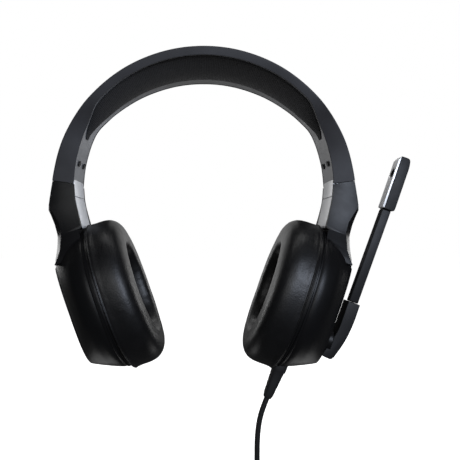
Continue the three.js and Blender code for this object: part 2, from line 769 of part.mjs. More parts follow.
function sidePieces(side, withMic) {
  const half = new THREE.Group();
  half.add(
    named(side + "_slider_blade", sliderBlade(), LOOK.steel),
    named(side + "_slider_guide", sliderGuide(), LOOK.shell),
    named(side + "_liner_screw_front", linerScrew(-6), LOOK.steel),
    named(side + "_liner_screw_rear", linerScrew(6), LOOK.steel),
    cupPieces(side, withMic),
  );
  return half;
}

function cordPieces() {
  const cord = new THREE.Group();
  cord.add(
    named("cord_run", cordRun(), LOOK.rubber),
    named("cord_coil", cordCoil(), LOOK.rubber),
    named("cord_tail", cordTail(), LOOK.rubber),
    named("cord_tie", cordTie(), LOOK.fabric),
    named("jack_grip", jackGrip(), LOOK.rubber),
    named("jack_pin", jackPin(), LOOK.gold),
  );
  return cord;
}

const headset = new THREE.Group();
headset.add(
  named("band_shell", bandShell(), LOOK.band),
  named("band_liner", bandLiner(), LOOK.liner),
  named("band_strip", bandStrip(), LOOK.steel),
  named("band_wire", bandWire(), LOOK.copper),
  named("head_cushion", headCushion(), LOOK.fabric),
);
const leftSide = sidePieces("left", true);
const rightSide = sidePieces("right", false);
rightSide.scale.x = -1; // the right side mirrors the left, without the microphone
headset.add(leftSide, rightSide, cordPieces());

export default headset;
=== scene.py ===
# A closed-back gaming headset with a woven head pad, satin silver covers, soft oval ear
# cushions and a swinging boom microphone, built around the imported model's frame.
import math

import bmesh
import bpy
from mathutils import Matrix, Vector, kdtree, noise


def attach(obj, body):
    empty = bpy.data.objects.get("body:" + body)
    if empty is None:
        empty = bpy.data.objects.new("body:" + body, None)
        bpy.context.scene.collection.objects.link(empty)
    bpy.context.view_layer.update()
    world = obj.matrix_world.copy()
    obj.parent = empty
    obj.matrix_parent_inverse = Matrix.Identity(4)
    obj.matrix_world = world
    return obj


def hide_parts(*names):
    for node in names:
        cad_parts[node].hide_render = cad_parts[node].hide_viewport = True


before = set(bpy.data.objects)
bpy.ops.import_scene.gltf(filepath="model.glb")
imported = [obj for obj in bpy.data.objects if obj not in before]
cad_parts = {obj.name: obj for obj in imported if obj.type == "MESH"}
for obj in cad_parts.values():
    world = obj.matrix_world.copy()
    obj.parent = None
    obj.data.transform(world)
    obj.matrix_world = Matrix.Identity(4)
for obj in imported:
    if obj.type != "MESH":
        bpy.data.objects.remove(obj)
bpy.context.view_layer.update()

MM = 0.001
DEG = math.pi / 180
SIDES = {"left": 1, "right": -1}

# ---- driving dimensions, in millimetres and degrees as the design has them ----
ARCH_Z = -90.4
SHELL_WALL = 1.8
GAP = 0.35
SEAM_X = 88.6
SEAM_Z = -73.5
SLIDE_TILT = 8
CUP_TILT = 19
CUP_FRAME = Matrix.Translation((65, 0, -150)) @ Matrix.Rotation(CUP_TILT * DEG, 4, "Y")
RIM_WIDE = 39.5
RIM_TALL = 47.5
HOUSING_DEPTH = 22.6
COVER_DEPTH = 1.4
RING_DEPTH = 4
MIC_Y = -8
MIC_PIVOT = -20
CORD_DIAMETER = 3.6
CORD_Y = -8
COIL_X = 45.5
COIL_Y = -0.8
COIL_Z = -293.5
COIL_RADIUS = 20.3
COIL_LAYERS = 3
COIL_ACROSS = 5


# ---- camera ----
def make_camera():
    data = bpy.data.cameras.new("camera")
    data.lens = 37.96
    data.sensor_width = 36
    data.shift_x = 0.0574
    data.shift_y = 0.0217
    data.clip_start = 0.01
    camera = bpy.data.objects.new("camera", data)
    camera.location = (0, -0.330, -0.111)
    camera.rotation_euler = (math.pi / 2, 0, 0)
    bpy.context.scene.collection.objects.link(camera)
    bpy.context.scene.camera = camera


make_camera()


# ---- materials ----
class Look:
    """A Principled material with helpers for its procedural detail."""

    def __init__(self, name, color, rough, metal=0.0, specular=0.5):
        self.material = bpy.data.materials.new(name)
        self.material.use_nodes = True
        self.tree = self.material.node_tree
        self.shader = self.tree.nodes["Principled BSDF"]
        self.shader.inputs["Base Color"].default_value = (*color, 1)
        self.shader.inputs["Roughness"].default_value = rough
        self.shader.inputs["Metallic"].default_value = metal
        self.shader.inputs["Specular IOR Level"].default_value = specular
        self.color = color
        self.rough = rough
        self.height = None
        self.place = self.node("ShaderNodeTexCoord").outputs["Object"]

    def node(self, kind, **settings):
        made = self.tree.nodes.new(kind)
        for key, value in settings.items():
            setattr(made, key, value)
        return made

    def link(self, start, end):
        self.tree.links.new(start, end)

    def set(self, **values):
        for key, value in values.items():
            self.shader.inputs[key.replace("_", " ")].default_value = value
        return self

    def math(self, operation, a, b=None):
        made = self.node("ShaderNodeMath", operation=operation)
        for socket, value in zip(made.inputs, (a, b)):
            if value is None:
                continue
            if isinstance(value, (int, float)):
                socket.default_value = value
            else:
                self.link(value, socket)
        return made.outputs[0]

    def noise(self, size_mm, detail=3.0, where=None):
        made = self.node("ShaderNodeTexNoise")
        made.inputs["Scale"].default_value = 1000 / size_mm
        made.inputs["Detail"].default_value = detail
        self.link(where or self.place, made.inputs["Vector"])
        return made.outputs["Fac"]

    def cells(self, size_mm, feature="F1"):
        made = self.node("ShaderNodeTexVoronoi", feature=feature)
        made.inputs["Scale"].default_value = 1000 / size_mm
        self.link(self.place, made.inputs["Vector"])
        return made.outputs["Distance"]

    def ramp(self, factor, stops):
        made = self.node("ShaderNodeValToRGB")
        elements = made.color_ramp.elements
        while len(elements) < len(stops):
            elements.new(0.5)
        for element, (place, color) in zip(elements, stops):
            element.position = place
            element.color = (*color, 1)
        self.link(factor, made.inputs["Fac"])
        return made.outputs["Color"]

    def spread(self, factor, low, high):
        made = self.node("ShaderNodeMapRange")
        made.inputs["To Min"].default_value = low
        made.inputs["To Max"].default_value = high
        self.link(factor, made.inputs["Value"])
        return made.outputs["Result"]

    def mottle(self, factor, amount):
        low = tuple(c * (1 - amount) for c in self.color)
        high = tuple(min(1, c * (1 + amount)) for c in self.color)
        self.link(self.ramp(factor, [(0.3, low), (0.7, high)]), self.shader.inputs["Base Color"])
        return self

    def vary_rough(self, factor, amount):
        result = self.spread(factor, self.rough - amount, self.rough + amount)
        self.link(result, self.shader.inputs["Roughness"])
        return self

    def bump(self, height, depth_mm, strength=1.0):
        made = self.node("ShaderNodeBump")
        made.inputs["Distance"].default_value = depth_mm * MM
        made.inputs["Strength"].default_value = strength
        self.link(height, made.inputs["Height"])
        if self.height is not None:
            self.link(self.height, made.inputs["Normal"])
        self.height = made.outputs["Normal"]
        self.link(self.height, self.shader.inputs["Normal"])
        return self


def moulded(name, color, rough, specular=0.5, grain=0.02):
    """Moulded plastic: a fine spark-eroded grain, faint flow mottling and handling marks."""
    look = Look(name, color, rough, specular=specular)
    look.mottle(look.noise(14), 0.10)
    look.vary_rough(look.noise(5, 5), 0.05)
    look.bump(look.noise(0.45, 2), grain)
    return look.material


def satin_silver(name):
    look = Look(name, (0.79, 0.795, 0.81), 0.34, metal=0.2)
    look.mottle(look.noise(9), 0.04)
    look.vary_rough(look.noise(3, 4), 0.05)
    look.bump(look.noise(0.3, 2), 0.008)
    return look.material


def metal(name, color, rough):
    look = Look(name, color, rough, metal=1.0)
    look.vary_rough(look.noise(2, 4), 0.08)
    look.bump(look.noise(0.4, 2), 0.006)
    return look.material


def leatherette(name):
    """Pebbled grain from small cells, creases from stretched noise, a soft worn sheen."""
    look = Look(name, (0.0036, 0.0036, 0.0040), 0.40, specular=0.34)
    look.mottle(look.noise(11, 4), 0.25)
    look.vary_rough(look.noise(3.5, 4), 0.07)
    look.bump(look.spread(look.cells(0.9, "SMOOTH_F1"), 0.0, 1.0), 0.05)
    look.bump(look.noise(5.5, 5), 0.12)
    return look.material


def woven(name, color, pitch_mm, depth_mm, uv=None):
    """Over-and-under weave: two crossed sets of threads take turns on top."""
    look = Look(name, color, 0.9, specular=0.12)
    if uv:
        look.place = look.node("ShaderNodeUVMap", uv_map=uv).outputs["UV"]
    split = look.node("ShaderNodeSeparateXYZ")
    look.link(look.place, split.inputs["Vector"])
    along, across = split.outputs["X"], split.outputs["Y" if uv else "Z"]
    turn = math.pi * 1000 / pitch_mm

    def wave(value, shift=0.0):
        return look.math("SINE", look.math("ADD", look.math("MULTIPLY", value, turn), shift))

    checks = look.math("MULTIPLY", wave(along), wave(across))
    ribs_a = look.math("ABSOLUTE", wave(along, math.pi / 2))
    ribs_b = look.math("ABSOLUTE", wave(across, math.pi / 2))
    over = look.math("GREATER_THAN", checks, 0.0)
    under = look.math("SUBTRACT", 1.0, over)
    height = look.math(
        "ADD", look.math("MULTIPLY", ribs_a, over), look.math("MULTIPLY", ribs_b, under)
    )
    fuzz = look.noise(0.35, 2)
    look.bump(look.math("ADD", height, look.math("MULTIPLY", fuzz, 0.5)), depth_mm)
    # Painted shade and highlight: the colour follows the weave's height, darker in the low gaps
    # between threads and lighter on the raised thread crowns.
    gap_shade = tuple(c * 0.45 for c in color)
    light = tuple(c * 1.7 for c in color)
    look.link(look.ramp(height, [(0.2, gap_shade), (1.0, light)]), look.shader.inputs["Base Color"])
    look.set(Sheen_Weight=0.02, Sheen_Roughness=0.5)
    return look.material


def rubber(name, color=(0.008, 0.008, 0.009)):
    look = Look(name, color, 0.62, specular=0.35)
    look.mottle(look.noise(6), 0.15)
    look.vary_rough(look.noise(2, 3), 0.08)
    look.bump(look.noise(0.5, 3), 0.02)
    return look.material


def laminate(name):
    look = Look(name, (0.012, 0.06, 0.025), 0.45)
    edges = look.cells(2.2, "DISTANCE_TO_EDGE")
    traces = look.ramp(edges, [(0.02, (0.05, 0.16, 0.06)), (0.1, look.color)])
    look.link(traces, look.shader.inputs["Base Color"])
    look.bump(look.noise(1.2), 0.02)
    return look.material


MATERIALS = {
    "band": moulded("band_plastic", (0.036, 0.036, 0.039), 0.5, 0.15),
    "liner": moulded("liner_plastic", (0.20, 0.202, 0.21), 0.5, 0.35),
    "shell": moulded("shell_plastic", (0.0038, 0.0038, 0.0042), 0.38, 0.21),
    "cover": moulded("cover_plastic", (0.0060, 0.0060, 0.0070), 0.24, 0.4, grain=0.008),
    "boom": moulded("boom_plastic", (0.010, 0.0102, 0.0112), 0.45, 0.18),
    "silver": satin_silver("satin_silver"),
    "leather": leatherette("leatherette"),
    "fabric": woven("pad_weave", (0.020, 0.020, 0.0215), 1.1, 0.14, uv="weave"),
    "cloth": woven("speaker_weave", (0.010, 0.010, 0.011), 0.8, 0.1),
    "steel": metal("brushed_steel", (0.42, 0.43, 0.45), 0.32),
    "copper": metal("copper_film", (0.60, 0.26, 0.12), 0.35),
    "gold": metal("plug_gold", (0.82, 0.58, 0.22), 0.2),
    "rubber": rubber("soft_rubber", (0.006, 0.006, 0.0065)),
    "board": laminate("board_laminate"),
}


# ---- mesh code ----
def link_piece(name, mesh, look, body, replaces=()):
    piece = bpy.data.objects.new(name, mesh)
    bpy.context.scene.collection.objects.link(piece)
    mesh.materials.clear()
    mesh.materials.append(MATERIALS[look])
    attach(piece, body)
    if replaces:
        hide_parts(*replaces)
    return piece


def mesh_of(name, points, faces, matrix=None, mirrored=False):
    """A mesh in metres from points in millimetres, its faces turned outwards."""
    if matrix is not None:
        points = [matrix @ Vector(p) for p in points]
    if mirrored:
        points = [(-p[0], p[1], p[2]) for p in points]
    mesh = bpy.data.meshes.new(name)
    mesh.from_pydata([tuple(c * MM for c in p) for p in points], [], faces)
    made = bmesh.new()
    made.from_mesh(mesh)
    bmesh.ops.recalc_face_normals(made, faces=made.faces)
    made.to_mesh(mesh)
    made.free()
    return mesh


def smooth(mesh, angle=32):
    mesh.shade_smooth()
    mesh.set_sharp_from_angle(angle=angle * DEG)
    return mesh


def skin(rings, looped=False, caps=True):
    """Faces over rings of points, capped at both ends or joined into a loop."""
    count = len(rings[0])
    points = [p for ring in rings for p in ring]
    faces = []
    spans = len(rings) if looped else len(rings) - 1
    for i in range(spans):
        here, after = i * count, ((i + 1) % len(rings)) * count
        for k in range(count):
            side = (k + 1) % count
            faces.append((here + k, here + side, after + side, after + k))
    if not looped and caps:
        faces.append(tuple(range(count)))
        faces.append(tuple(range((len(rings) - 1) * count, len(rings) * count)))
    return points, faces


def modified(mesh, *steps):
    """A copy of the mesh with modifiers applied; a step is (kind, settings)."""
    holder = bpy.data.objects.new("holder", mesh)
    bpy.context.scene.collection.objects.link(holder)
    for kind, settings in steps:
        modifier = holder.modifiers.new(kind.lower(), kind)
        for key, value in settings.items():
            setattr(modifier, key, value)
    graph = bpy.context.evaluated_depsgraph_get()
    result = bpy.data.meshes.new_from_object(holder.evaluated_get(graph))
    bpy.data.objects.remove(holder)
    return result


def bevelled(mesh, width, segments=3, angle=30):
    settings = {
        "width": width * MM, "segments": segments, "limit_method": "ANGLE",
        "angle_limit": angle * DEG, "harden_normals": False,
    }
    return smooth(modified(mesh, ("BEVEL", settings)), 40)


def tool(mesh):
    """A hidden object that a boolean modifier joins or cuts with."""
    made = bpy.data.objects.new("tool", mesh)
    bpy.context.scene.collection.objects.link(made)
    return made


def boolean(mesh, operation, others):
    tools = [tool(other) for other in others]
    steps = [
        ("BOOLEAN", {"operation": operation, "solver": "EXACT", "object": other}) for other in tools
    ]
    result = modified(mesh, *steps)
    for other in tools:
        bpy.data.objects.remove(other)
    return result


def welded(mesh):
    """Joins the slivers a boolean leaves behind, so that a bevel runs cleanly round every edge."""
    made = bmesh.new()
    made.from_mesh(mesh)
    bmesh.ops.remove_doubles(made, verts=made.verts, dist=0.06 * MM)
    bmesh.ops.dissolve_degenerate(made, edges=made.edges, dist=0.03 * MM)
    bmesh.ops.dissolve_limit(
        made, angle_limit=0.4 * DEG, verts=made.verts, edges=made.edges, delimit={"NORMAL"}
    )
    made.to_mesh(mesh)
    made.free()
    return mesh


def rounded(corners, radius, steps=4):
    """A closed outline with its corners rounded; radius is one number or one per corner."""
    count = len(corners)
    radii = radius if isinstance(radius, (list, tuple)) else [radius] * count
    result = []
    for i, corner in enumerate(corners):
        here = Vector(corner)
        before = Vector(corners[i - 1]) - here
        after = Vector(corners[(i + 1) % count]) - here
        reach = min(radii[i], before.length * 0.48, after.length * 0.48)
        start = here + before.normalized() * reach
        end = here + after.normalized() * reach
        for k in range(steps + 1):
            t = k / steps
            result.append(start.lerp(here, t).lerp(here.lerp(end, t), t))
    return result


def smooth_line(points, per_span, closed=False):
    """A Catmull-Rom curve through the points."""
    line = [Vector(p) for p in points]
    count = len(line)
    spans = count if closed else count - 1

    def at(i):
        return line[i % count] if closed else line[max(0, min(count - 1, i))]

    result = []
    for i in range(spans):
        a, b, c, d = at(i - 1), at(i), at(i + 1), at(i + 2)
        for k in range(per_span):
            t = k / per_span
            result.append(
                0.5 * (2 * b + (c - a) * t + (2 * a - 5 * b + 4 * c - d) * t * t
                       + (3 * b - a - 3 * c + d) * t ** 3)
            )
    if not closed:
        result.append(line[-1])
    return result


def between(table, value):
    if value <= table[0][0]:
        return table[0][1:]
    for low, high in zip(table, table[1:]):
        if value < high[0]:
            share = (value - low[0]) / (high[0] - low[0])
            return tuple(a + share * (b - a) for a, b in zip(low[1:], high[1:]))
    return table[-1][1:]


def ease(value, low, high):
    t = max(0.0, min(1.0, (value - low) / (high - low)))
    return t * t * (3 - 2 * t)


def spaced(low, high, steps):
    return [low + (high - low) * i / steps for i in range(steps + 1)]


def oval(wide, tall, steps=120, power=2.1):
    result = []
    for i in range(steps):
        c, s = math.cos(2 * math.pi * i / steps), math.sin(2 * math.pi * i / steps)
        y = wide * math.copysign(abs(c) ** (2 / power), c)
        z = tall * math.copysign(abs(s) ** (2 / power), s)
        result.append(Vector((y, z)))
    return result


def prism(name, outline, low, high, matrix, mirrored=False):
    """An outline in the XZ plane stretched along Y."""
    rings = [[(x, y, z) for x, z in outline] for y in (low, high)]
    return mesh_of(name, *skin(rings), matrix, mirrored)


def turned(name, profile, matrix, steps=48, mirrored=False):
    """A body turned about the X axis from [radius, x] points; its ends are capped."""
    rings = []
    for radius, x in profile:
        turn = [2 * math.pi * k / steps for k in range(steps)]
        rings.append([(x, radius * math.cos(a), radius * math.sin(a)) for a in turn])
    return mesh_of(name, *skin(rings), matrix, mirrored)


# ---- the band ----
EDGE_HALF = [
    (8, 13.8), (18, 15), (26, 17.5), (33, 19.8), (38, 22), (42, 24), (46, 25.3), (50, 26.4),
    (56, 27.8), (62, 28.7), (70, 29.3), (80, 29.9), (90, 30.1),
]
FOOT_HALF = [
    (20, 13.7), (26, 13.7), (33, 13.9), (36, 14.5), (39, 16.8), (42, 20.4), (45, 23), (50, 24.7),
    (55, 25.9), (62, 26.8), (70, 27.8), (80, 28.6), (90, 29.1),
]
WALL_FOOT = [
    (11, 86.4), (15, 87.3), (20, 88.7), (25, 90), (30, 91.5), (35, 92.9), (40, 94.1), (45, 95.1),
    (50, 95.1), (62, 94.8), (70, 94.6), (90, 94.5),
]
CREST = [
    (8, 100.7), (15, 101.1), (20, 101.5), (26, 101.7), (33, 101.6), (37, 101.4), (42, 101),
    (46, 100.7), (50, 100.5), (56, 100.3), (66, 100.2), (90, 100.1),
]
ROOF = 1.7
FOOT_WALL = 0.9
TRAY_FLOOR = [(26, 90.3), (36, 95.2), (46, 96.1)]
PAD_CROWN = 91.7
PAD_END = 31
MARGIN = 4.6
GROOVE_WIDE = 2.4
GROOVE_DEEP = 1.1
LINER_THICK = 0.9
PAD_TAPER = 9
PAD_INSET = 2.2
PAD_RIM = 0.5
PAD_PUFF = 0.12
WEAVE_RADIUS = 0.0926
MID_RADIUS = 93
SEAM_REACH = SEAM_X * math.sin(SLIDE_TILT * DEG) + (ARCH_Z - SEAM_Z) * math.cos(SLIDE_TILT * DEG)


def from_level(angle):
    return min(angle, 180 - angle)


def eased(table, angle):
    """The table's value at an angle above level, on a smooth curve through its rows."""
    value = from_level(angle)
    line = smooth_line([Vector(row) for row in table], 8)
    return between([tuple(p) for p in line], value)[0]


def wall_foot(angle):
    return eased(WALL_FOOT, angle)


def seam_angle(radius):
    """Where the seam's plane crosses a circle about the arch's centre, in degrees."""
    return SLIDE_TILT + math.asin(-SEAM_REACH / radius) / DEG


def arch_piece(name, section, stations):
    """Sweeps section(angle) from seam to seam; section points are (along Y, radius)."""
    rings = []
    for share in stations:
        start = seam_angle(MID_RADIUS)
        flat = section(start + (180 - 2 * start) * share)
        ring = []
        for y, radius in flat:
            start = seam_angle(radius)
            angle = (start + (180 - 2 * start) * share) * DEG
            ring.append((radius * math.cos(angle), y, ARCH_Z + radius * math.sin(angle)))
        rings.append(ring)
    return mesh_of(name, *skin(rings))


def band_shell():
    """The side walls lean outwards from their foot to the edge of the roof."""
    def section(angle):
        w, f = eased(EDGE_HALF, angle), eased(FOOT_HALF, angle)
        foot, crest = wall_foot(angle), eased(CREST, angle)
        roof = crest - ROOF
        corners = [
            (-f, foot), (-w, crest - 0.2), (0, crest), (w, crest - 0.2),
            (f, foot), (f - FOOT_WALL, foot), (w - SHELL_WALL, roof - 1), (0, roof),
            (-w + SHELL_WALL, roof - 1), (-f + FOOT_WALL, foot),
        ]
        return rounded(corners, [0.5, 1.3, 8, 1.3, 0.5, 0.5, 2, 5, 2, 0.5], 6)

    mesh = smooth(arch_piece("band_shell_skin", section, spaced(0, 1, 160)), 50)
    link_piece("band_shell_skin", mesh, "band", "headband", ["band_shell"])


def liner_edge(angle):
    return eased(FOOT_HALF, angle) - FOOT_WALL - 0.12


def liner_floor(angle):
    low = wall_foot(angle) + 0.3
    return low if from_level(angle) < TRAY_FLOOR[0][0] else eased(TRAY_FLOOR, angle)


def groove_depth(angle):
    return GROOVE_DEEP * ease(from_level(angle), 36, 46)


def band_liner():
    """The margins slope up to a groove round the pad; the floor between them carries the pad."""
    def section(angle):
        edge = liner_edge(angle)
        groove = edge - MARGIN
        flat = groove - GROOVE_WIDE
        low = wall_foot(angle) + 0.2
        floor = liner_floor(angle)
        deep = floor + groove_depth(angle)
        corners = [
            (-edge, low), (-groove, deep), (-flat, floor),
            (flat, floor), (groove, deep), (edge, low),
        ]
        corners += [(-y, radius + LINER_THICK) for y, radius in corners]
        return rounded(corners, [0.4, 1, 1, 1, 1, 0.4, 0.3, 1, 1, 1, 1, 0.3], 4)

    mesh = smooth(arch_piece("band_liner_skin", section, spaced(0, 1, 160)), 40)
    link_piece("band_liner_skin", mesh, "liner", "headband", ["band_liner"])


def add_weave_uv(mesh, coordinates):
    """Writes the weave's coordinates, in metres along the pad and across it."""
    layer = mesh.uv_layers.new(name="weave")
    for loop in mesh.loops:
        layer.data[loop.index].uv = coordinates[loop.vertex_index]


def pad_point(angle, radius, y):
    return (radius * math.cos(angle * DEG), y, ARCH_Z + radius * math.sin(angle * DEG))


def head_cushion():
    """A crowned pad: its back lies on the liner's floor, its face swells towards the head."""
    rings = []
    for share in spaced(0, 1, 220):
        angle = PAD_END + (180 - 2 * PAD_END) * share
        near = from_level(angle)
        leaf = math.sin(min(1, (near - PAD_END + 0.5) / PAD_TAPER) * math.pi / 2) ** 0.6
        half = (liner_edge(angle) - MARGIN - PAD_INSET * leaf) * leaf
        back = liner_floor(angle) - 0.3
        low = back - (back - PAD_CROWN) * leaf
        rim = back - PAD_RIM
        ring = []
        for k in range(41):
            t = -math.cos(math.pi * k / 40)
            swell = abs(t) ** 1.9
            puff = PAD_PUFF * noise.noise(Vector((angle * 0.35, t * 2, 5))) * (1 - swell)
            ring.append(pad_point(angle, low + (rim - low) * swell + puff, half * t))
        tuck = groove_depth(angle)
        skirt = half + 1.5 * leaf * tuck
        low_edge = back + 0.5 * tuck
        shoulder = (half + 0.4 * (skirt - half), rim + 0.25 * (low_edge - rim))
        under = [shoulder, (skirt, low_edge), (0.86 * half, back), (0.5 * half, back)]
        around = [*under, (0, back), *((-y, radius) for y, radius in reversed(under))]
        ring += [pad_point(angle, radius, y) for y, radius in around]
        rings.append(ring)
    mesh = mesh_of("head_pad", *skin(rings))
    turns = [math.atan2(v.co.z / MM - ARCH_Z, v.co.x / MM) for v in mesh.vertices]
    add_weave_uv(mesh, [(turn * WEAVE_RADIUS, v.co.y) for turn, v in zip(turns, mesh.vertices)])
    smooth(mesh, 60)
    piece = link_piece("head_pad", mesh, "fabric", "headband", ["head_cushion"])


# ---- cups ----
def in_metres(matrix):
    """The same placing for a mesh that is already in metres."""
    place = matrix.copy()
    place.translation = place.translation * MM
    return place


def cup_to_world(mesh, mirrored):
    mesh.transform(in_metres(CUP_FRAME))
    if mirrored:
        mesh.transform(Matrix.Scale(-1, 4, (1, 0, 0)))
        mesh.flip_normals()


HOUSING = [
    (0, RIM_WIDE, RIM_TALL, 0, 2.1), (2, RIM_WIDE + 0.3, RIM_TALL, 0, 2.1), (7, 38.4, 45.7, 0, 2.1),
    (12, 35.4, 43.3, -0.1, 2.2), (18, 28, 40.4, -0.2, 2.5), (21.9, 20.9, 38.6, -0.2, 2.9),
    (HOUSING_DEPTH, 20.3, 38.2, -0.2, 3),
]
CAVITY = [
    (-1, RIM_WIDE - 2.2, RIM_TALL - 2.2, 0, 2.1), (12, 32.6, 40.4, -0.6, 2.1),
    (18, 24.6, 34.6, -3.6, 2.3), (19.2, 21.4, 33.2, -3.6, 2.4),
]
# [height, inner x, x at the corners, outer x, half width]
YOKE = [
    (86, -8.1, 5.9, 5.9, 13.8), (84, -7.6, 6.6, 6.6, 13.8), (80, -6.7, 8.8, 8.8, 13.8),
    (74, -5.1, 12, 12, 13.8), (70.4, -4.1, 13.6, 14.3, 14), (67.2, -3.5, 13.8, 15.4, 14.1),
    (63.4, -3, 12.7, 15, 14.3), (57.1, -2.4, 11.2, 14.7, 15), (51, -1.9, 11.4, 15.1, 16.2),
    (49, -1.7, 11.8, 15.4, 16.7), (48.7, 0, 11.9, 15.5, 16.8), (47.8, 0, 12.2, 15.8, 17.1),
    (43.5, 0, 13.5, 17.4, 18.8), (39.1, 1, 14.9, 19.5, 20.5), (35, 4, 17.6, 21.7, 21.8),
    (31.4, 8, 20.5, 22.6, 22.5),
]
YOKE_FLAT = 12.6
ACCENT_LINE = [
    (15.2, 67.2), (15, 62.3), (14.7, 56), (15.2, 50), (16.8, 44.9), (19.5, 39), (22.4, 33.8),
]
ACCENT_THICK = 1.7
ACCENT_HALF = 12
COVER_THICK = 1.3
COVER_HALF = 12.25
COVER_ROOM_HALF = 12.3
INNER_FACE = [
    (48.6, -1.6), (52, -1.8), (61, -2.7), (69.5, -3.8), (74, -5), (79.5, -6.5), (83.5, -7.4),
]


def stacked(levels, steps=160, eased_rows=False):
    """Ovals stacked along the cup's X; between the first and last the wall may run in a curve."""
    if eased_rows:
        middle = levels[1:-1]
        curve = smooth_line([row[:3] for row in middle], 4)
        rest = [(row[0], *row[3:]) for row in middle]
        rows = [(x, wide, tall, *between(rest, x)) for x, wide, tall in curve]
        levels = [levels[0], *rows, levels[-1]]
    return skin([
        [(x, y, z + up) for y, z in oval(wide, tall, steps, power)]
        for x, wide, tall, up, power in levels
    ])


def yoke_arm():
    rings = []
    for height, low, corner, high, half in YOKE:
        flat = [
            (low, -half), (corner, -half), (high, -YOKE_FLAT),
            (high, YOKE_FLAT), (corner, half), (low, half),
        ]
        rings.append([(x, y, height) for x, y in flat])
    return skin(rings)


def yoke_notch():
    """What the notch above the housing takes away; its sides run on from the yoke's corners."""
    far = 70
    rows = [row for row in YOKE if row[0] < 60] + [(29, 0, 22.7, 22.7, 22.5)]
    rings = []
    for height, _, corner, high, half in rows:
        flat = [
            (corner, -far), (corner, -half), (high, -YOKE_FLAT), (high, YOKE_FLAT), (corner, half),
            (corner, far), (far, far), (far, -far),
        ]
        rings.append([(x, y, height) for x, y in flat])
    return skin(rings)


def box_mesh(low, high, matrix=None):
    flat = ((low[0], low[1]), (high[0], low[1]), (high[0], high[1]), (low[0], high[1]))
    rings = [[(x, y, z) for x, y in flat] for z in (low[2], high[2])]
    return mesh_of("box", *skin(rings), matrix)


def across_plate(name, outline, half):
    """An outline in the cup's XZ plane stretched along Y, with no frame applied yet."""
    return mesh_of(name, *skin([[(x, y, z) for x, z in outline] for y in (-half, half)]))


def seam_frame():
    """From the slider's own upright frame into the cup's frame."""
    place = Matrix.Translation((SEAM_X, 0, SEAM_Z)) @ Matrix.Rotation(-SLIDE_TILT * DEG, 4, "Y")
    return CUP_FRAME.inverted() @ place


def accent_room():
    inner = [(x - ACCENT_THICK - GAP, z - 0.4 - (0.6 if x > 16 else 0)) for x, z in ACCENT_LINE]
    line = [(inner[0][0], 69), *inner, (21.2, 30.5)]
    path = [tuple(p) for p in smooth_line(line, 4)]
    return across_plate("accent_room", [*path, (32, 30.5), (32, 69)], ACCENT_HALF + GAP)


def cover_outline(grow):
    return [(y, z - 5) for y, z in oval(15 + grow, 27 + grow)]


def inner_line(top, foot):
    inside = [(x, z) for z, x in reversed(INNER_FACE) if foot < z < top]
    ends = [(between(INNER_FACE, z)[0], z) for z in (top, foot)]
    return [ends[0], *inside, ends[1]]


def cover_room(top, foot):
    """Room for both silver covers, let into the yoke so its edges stand flush with them."""
    room = [(x + COVER_THICK + GAP, z) for x, z in inner_line(top, foot)]
    room[0] = (room[0][0], room[0][1] + 10)
    return across_plate("cover_room", [*room, (-30, foot), (-30, top + 10)], COVER_ROOM_HALF + GAP)


def cup_shell(side):
    """Yoke and housing in one moulding, hollow, with its recesses."""
    housing = mesh_of("housing", *stacked(HOUSING, eased_rows=True))
    arm = mesh_of("arm", *yoke_arm())
    above = box_mesh((-60, -60, -GAP), (60, 60, 60), seam_frame())
    floor = HOUSING_DEPTH - COVER_DEPTH - 0.2
    recess_rings = [[(x, y, z) for y, z in cover_outline(GAP)] for x in (floor, 30)]
    cutters = [
        mesh_of("cavity", *stacked(CAVITY)), accent_room(), mesh_of("recess", *skin(recess_rings)),
        cover_room(83.4, 48), above,
    ]
    if side == "left":
        place = Matrix.Translation((0, MIC_Y, MIC_PIVOT))
        cutters.append(turned("pivot_hole", [(2.8, 10), (2.8, 30)], place))
    bowl = boolean(housing, "DIFFERENCE", [mesh_of("notch", *yoke_notch())])
    mesh = boolean(boolean(bowl, "UNION", [arm]), "DIFFERENCE", cutters)
    mesh = bevelled(welded(mesh), 0.55, 3, 28)
    cup_to_world(mesh, side == "right")
    name = side + "_cup_moulding"
    link_piece(name, mesh, "shell", side + "_cup", [side + "_cup_shell"])


def bent_plate(name, line, thick, half, side, width=0.4, per_span=6):
    """A plate that follows a line in the cup's XZ plane, straight across Y."""
    path = [Vector(p) for p in smooth_line(line, per_span)]
    inner = []
    for i, here in enumerate(path):
        along = (path[min(i + 1, len(path) - 1)] - path[max(i - 1, 0)]).normalized()
        inner.append(here + thick * Vector((along.y, -along.x)))
    outline = [tuple(p) for p in path] + [tuple(p) for p in reversed(inner)]
    mesh = prism(name, outline, -half, half, CUP_FRAME, side == "right")
    return bevelled(mesh, width, 3, 50)


def silver_covers(side):
    accent = bent_plate(side + "_accent", ACCENT_LINE, ACCENT_THICK, ACCENT_HALF, side, 0.5)
    body = side + "_cup"
    link_piece(side + "_accent", accent, "silver", body, [side + "_accent_plate"])
    spans = {
        "_slider_cover": (82.6, 70.35, "_slider_cap"),
        "_inner_cover": (70.05, 49, "_yoke_cover"),
    }
    for label, (top, foot, node) in spans.items():
        line = inner_line(top, foot)
        mesh = bent_plate(side + label, line, -COVER_THICK, COVER_HALF, side, 0.25, 1)
        link_piece(side + label, mesh, "silver", body, [side + node])


def outer_cover(side):
    """A flat plate with a fine stepped edge and a shallow dished middle."""
    levels = [(0, 0), (1.0, 0), (1.4, -0.4), (1.4, -2.0), (1.15, -2.5), (1.15, -3.0), (1.4, -3.5),
              (1.4, -9)]
    base = HOUSING_DEPTH - COVER_DEPTH
    rings = [[(base + up, y, z) for y, z in cover_outline(grow)] for up, grow in levels]
    mesh = smooth(mesh_of("cover", *skin(rings), CUP_FRAME, side == "right"), 50)
    name = side + "_cover_plate"
    link_piece(name, mesh, "cover", side + "_cup", [side + "_outer_cover"])


